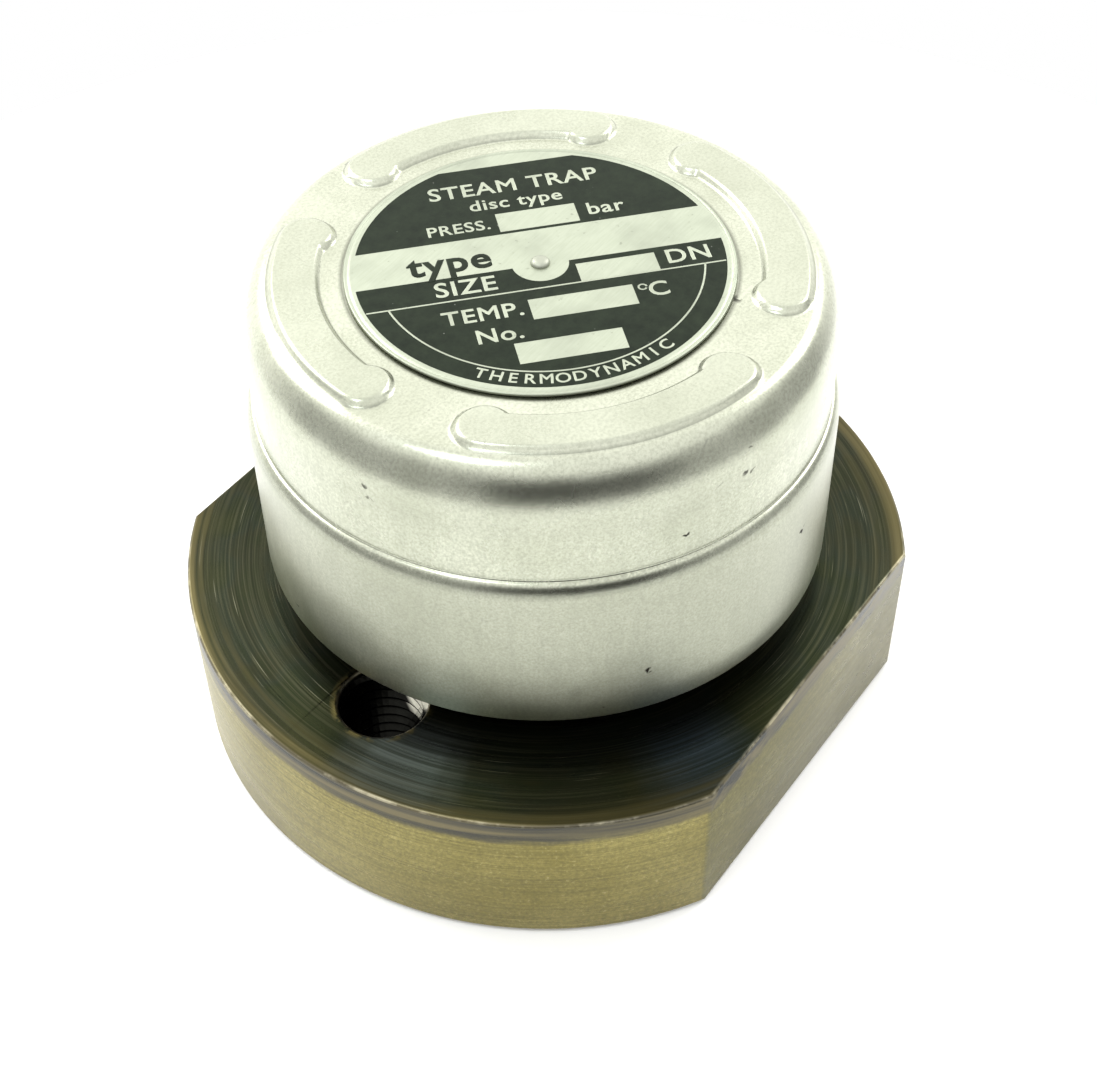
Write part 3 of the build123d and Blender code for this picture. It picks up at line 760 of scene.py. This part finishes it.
def make_lettering(silver, ink):
    """Generic lettering and rules of the plate."""
    light = [text_piece(words, size, u, v) for words, u, v, size in LABELS]
    ring = circle_part(0.42, 0, 330, 16)
    light.append(strip_mesh([(9.35 + x, -6.3 + y) for x, y in ring], 0.22))
    spread = 62.0
    for i, letter in enumerate(ARC_LABEL):
        a = math.radians(270 - spread / 2 + spread * i / (len(ARC_LABEL) - 1))
        u, v = ARC_LABEL_R * math.cos(a), ARC_LABEL_R * math.sin(a)
        light.append(text_piece(letter, 1.45, u, v, a + math.pi / 2))
    end = chord_x(PRINT_R, RULE_V) - 0.1
    light.append(strip_mesh([(-end, RULE_V), (end, RULE_V)], 0.24))
    low = angle_at(17.1, RULE_V)
    light.append(strip_mesh(circle_part(17.1, 180 - low, 360 + low, 90), 0.22))
    lift = PLATE_TOP + TEXT_LIFT
    pale = dress(merge(light, "plate_lettering", lift), silver)
    words, u, v, size = BAND_LABEL
    dark = dress(merge([text_piece(words, size, u, v, 0.0, 0.035)], "plate_band_label", lift), ink)
    return [pale, dark]


def make_rivet():
    """Domed rivet head with a small flat."""
    head_r = RIVET_HEAD_R
    rise = RIVET_TOP - PLATE_TOP
    outline = [(0.0001, RIVET_TOP), (head_r * 0.35, RIVET_TOP - 0.02 * rise)]
    outline += arc_points((head_r * 0.35, PLATE_TOP), head_r * 0.65, rise * 0.97, 80, 0, 8)
    outline += [(head_r, PLATE_TOP - 0.02), (0.0001, PLATE_TOP - 0.02)]
    bm = bmesh.new()
    lathe(bm, outline, RIVET_TURNS)
    bmesh.ops.remove_doubles(bm, verts=bm.verts, dist=0.0005)
    return from_bmesh(bm, "rivet_head")


# ---------------------------------------------------------------- flange


def flange_plan(radius, flat):
    """Plan outline of the round flange with its two flats."""
    a = math.degrees(math.asin(flat / radius))
    return circle_part(radius, -a, a, 150) + circle_part(radius, 180 - a, 180 + a, 150)


def make_flange():
    """Flange with softly worn edges round its outline and its holes."""
    low, high = FLANGE_LOW.z / MM, FLANGE_HIGH.z / MM
    edge = FLANGE_EDGE
    data = bpy.data.curves.new("flange", "CURVE")
    data.dimensions = "2D"
    data.fill_mode = "BOTH"
    data.extrude = ((high - low) / 2 - edge) * MM
    data.bevel_depth = edge * MM
    data.bevel_resolution = 4
    data.offset = -edge * MM
    hole = full_circle(BOLT_R, BOLT_POINTS)
    holes = [[(sign * BOLT_X + x, y) for x, y in hole] for sign in (1, -1)]
    add_lines(data, [flange_plan(FLANGE_R, FLAT_Y), *holes, full_circle(RECESS_R, BORE_TURNS)])
    flange = settle(put(data, "flange"), "loose_flange", (low + high) / 2, 0.0)
    narrow_bore(flange, low + edge, high - edge)
    return flange


def narrow_bore(piece, low, high):
    """Draws the bore in above the recess, which the body's foot sits in."""
    bm = bmesh.new()
    bm.from_mesh(piece.data)
    bmesh.ops.scale(bm, vec=(1 / MM, 1 / MM, 1 / MM), verts=bm.verts)
    bore = {v for v in bm.verts if v.co.xy.length < RECESS_R + 0.6}
    walls = []
    for face in bm.faces:
        heights = [v.co.z for v in face.verts]
        if bore.issuperset(face.verts) and max(heights) - min(heights) > RECESS_TOP:
            walls.append(face)
    bmesh.ops.delete(bm, geom=walls, context="FACES")
    for vert in bore:
        if vert.co.z > RECESS_TOP:
            closer = 1 - (RECESS_R - BORE_R) / vert.co.xy.length
            vert.co.x *= closer
            vert.co.y *= closer
    step = [(RECESS_R, low), (RECESS_R, RECESS_TOP), (BORE_R, RECESS_TOP), (BORE_R, high)]
    lathe(bm, step, BORE_TURNS, closed=False)
    bmesh.ops.remove_doubles(bm, verts=bm.verts, dist=0.004)
    bmesh.ops.recalc_face_normals(bm, faces=bm.faces)
    for face in bm.faces:
        face.smooth = abs(face.normal.z) < 0.999
    bmesh.ops.scale(bm, vec=(MM, MM, MM), verts=bm.verts)
    bm.to_mesh(piece.data)
    bm.free()


def thread_ridge(x, name):
    """Helical thread ridge on the wall of one tapped hole."""
    crest = BOLT_R - THREAD_DEPTH
    root = BOLT_R + THREAD_SUNK
    low, high = FLANGE_LOW.z / MM + THREAD_LOW_GAP, FLANGE_HIGH.z / MM - THREAD_HIGH_GAP
    per_turn = THREAD_STEPS
    count = int((high - low) / THREAD_PITCH * per_turn)
    section = [(root, -THREAD_ROOT), (crest, -THREAD_CREST), (crest, THREAD_CREST), (root, THREAD_ROOT)]
    bm = bmesh.new()
    rows = []
    for i in range(count + 1):
        angle = 2 * math.pi * i / per_turn
        middle = low + (high - low) * i / count
        fade = smoothstep(0, per_turn / 2, i) * smoothstep(0, per_turn / 2, count - i)
        row = []
        for r, dz in section:
            r_here = root - (root - r) * fade
            spot = (x + r_here * math.cos(angle), r_here * math.sin(angle), middle + dz * 0.98)
            row.append(bm.verts.new(spot))
        rows.append(row)
    for a, b in zip(rows, rows[1:]):
        for i in range(4):
            j = (i + 1) % 4
            bm.faces.new((a[i], a[j], b[j], b[i]))
    bm.faces.new(rows[0])
    bm.faces.new(list(reversed(rows[-1])))
    return from_bmesh(bm, name, smooth=False)


# ---------------------------------------------------------------- stage, camera and lights


def make_stage():
    """Plain pale floor: a round sheet, small enough that low reflections see past its edge."""
    bm = bmesh.new()
    bm.faces.new([bm.verts.new((FLOOR_R * x, FLOOR_R * y, FLOOR_Z)) for x, y in full_circle(1.0, 180)])
    floor = from_bmesh(bm, "studio_floor", smooth=False)
    s = Shader("studio_floor")
    tone = s.mix(s.noise(s.point, 60, 2), (0.95, 0.95, 0.94), (0.97, 0.97, 0.96))
    dress(floor, s.set(color=tone, metal=0.0, rough=0.8))


def make_camera():
    """Camera at the object's usual view: high, over the bolt hole's side."""
    angle = math.radians(CAMERA_ANGLE)
    lift = math.radians(CAMERA_ELEVATION)
    out = Vector((math.cos(angle) * math.cos(lift), math.sin(angle) * math.cos(lift), math.sin(lift)))
    aim = Vector((0, 0, CAMERA_AIM_Z))
    data = bpy.data.cameras.new("camera")
    data.lens = CAMERA_LENS
    data.sensor_width = 36.0
    data.shift_x, data.shift_y = CAMERA_SHIFT
    data.clip_start = 0.005
    camera = bpy.data.objects.new("camera", data)
    bpy.context.scene.collection.objects.link(camera)
    camera.location = (aim + out * CAMERA_DISTANCE) * MM
    facing = (-out).to_track_quat("-Z", "Y").to_matrix().to_4x4()
    camera.matrix_world = (
        Matrix.Translation(camera.location) @ facing @ Matrix.Rotation(math.radians(CAMERA_ROLL), 4, "Z"))
    bpy.context.scene.camera = camera


def area_light(name, azimuth, elevation, size, power, colour=(1, 1, 1)):
    """Soft box aimed at the object; azimuth is measured from +X."""
    a, e = math.radians(azimuth), math.radians(elevation)
    out = Vector((math.cos(a) * math.cos(e), math.sin(a) * math.cos(e), math.sin(e)))
    data = bpy.data.lights.new(name, "AREA")
    data.shape = "RECTANGLE"
    data.size, data.size_y = size
    data.energy = power
    data.color = colour
    light = bpy.data.objects.new(name, data)
    bpy.context.scene.collection.objects.link(light)
    light.location = out * LIGHT_DISTANCE
    light.rotation_euler = (-out).to_track_quat("-Z", "Y").to_euler()


def make_world():
    """Pale surround: bright overhead, and for reflections a darker room on the camera's side."""
    world = bpy.data.worlds.new("studio")
    bpy.context.scene.world = world
    world.use_nodes = True
    s = Shader.__new__(Shader)
    s.tree = world.node_tree
    back = s.tree.nodes["Background"]
    where = s.node("ShaderNodeTexCoord").outputs["Generated"]
    x, y, z = s.split(where)
    angle = math.radians(CAMERA_ANGLE + DARK_ROOM_TURN)
    forward = s.math("ADD", s.math("MULTIPLY", x, math.cos(angle)), s.math("MULTIPLY", y, math.sin(angle)))
    dome = s.ramp(z, [(0.0, 0.70), (0.35, 0.85), (0.60, 1.60), (0.9, 1.60)])
    dome = s.mix(s.ramp(s.math("MULTIPLY", forward, -1.0), [(0.2, 0.0), (0.7, 1.0)]), dome, (2.0, 2.0, 1.96))
    room = s.ramp(z, [(0.0, 0.10), (0.16, 0.12), (0.38, 1.0)])
    side = s.ramp(forward, [(0.74, 0.0), (0.92, 1.0)])
    seen = s.mix(side, dome, s.mix(1.0, dome, room, "MULTIPLY"))
    path = s.node("ShaderNodeLightPath").outputs["Is Camera Ray"]
    s.feed(back.inputs["Color"], s.mix(path, seen, (1.0, 1.0, 1.0)))
    back.inputs["Strength"].default_value = 1.0


# ---------------------------------------------------------------- the whole scene


def place(piece, body, slot, *nodes):
    """Rides a piece on a body, in place of CAD nodes. The slot argument is not used."""
    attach(piece, body)
    if nodes:
        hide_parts(*nodes)


make_camera()
make_stage()
make_world()
area_light("key_left", 88, 42, (0.5, 0.4), 3.4)
area_light("right", 345, 40, (0.4, 0.4), 2.4)
area_light("front_left", 168, 66, (0.26, 0.26), 1.3, (0.90, 0.96, 1.0))

place(make_cap(), "cap", "cap_alloy", "outer_cap")
plate = make_plate()
place(plate, "cap", "plate_alloy", "nameplate")
prints, ink = make_print()
for piece in prints + make_lettering(plate.data.materials[0], ink):
    place(piece, "cap", "plate_alloy")
rivet = dress(make_rivet(), turned_steel("rivet_metal", (0.42, 0.44, 0.36), (0.34, 0.35, 0.29), 0.38, 3000))
place(rivet, "cap", "rivet_alloy", "nameplate_rivet")

tinted = flange_steel()
place(dress(make_flange(), tinted), "flange", "flange_steel", "swivel_flange")
thread_metal = thread_steel()
for side, x in (("plus", BOLT_X), ("minus", -BOLT_X)):
    place(dress(thread_ridge(x, "tapped_thread_" + side), thread_metal), "flange", "flange_steel")

plain = turned_steel("plain_steel", (0.43, 0.42, 0.395), (0.25, 0.245, 0.225), 0.30)
lapped = turned_steel("lapped_steel", (0.60, 0.60, 0.58), (0.44, 0.44, 0.42), 0.16, 4200)
spring = turned_steel("spring_steel", (0.30, 0.30, 0.31), (0.18, 0.18, 0.19), 0.25)
bimetal = turned_steel("bimetal_strip", (0.66, 0.58, 0.42), (0.48, 0.42, 0.30), 0.22)
gasket = gasket_sheet()
for node, material in (
    ("trap_body", plain), ("inlet_sleeve", plain), ("inner_cover", plain),
    ("cap_support_ring", plain), ("screen_ring", plain),
    ("inlet_screen", lapped), ("valve_seat", lapped), ("valve_disc", lapped), ("air_vent_ring", bimetal),
    ("flange_snap_ring", spring), ("support_snap_ring", spring), ("cap_grip_ring", spring),
    ("connector_gasket_inner", gasket), ("connector_gasket_outer", gasket), ("seat_gasket_inner", gasket),
    ("seat_gasket_outer", gasket), ("cover_gasket", gasket),
):
    dress(NODES[node], material)

bpy.context.scene.view_settings.view_transform = "Standard"
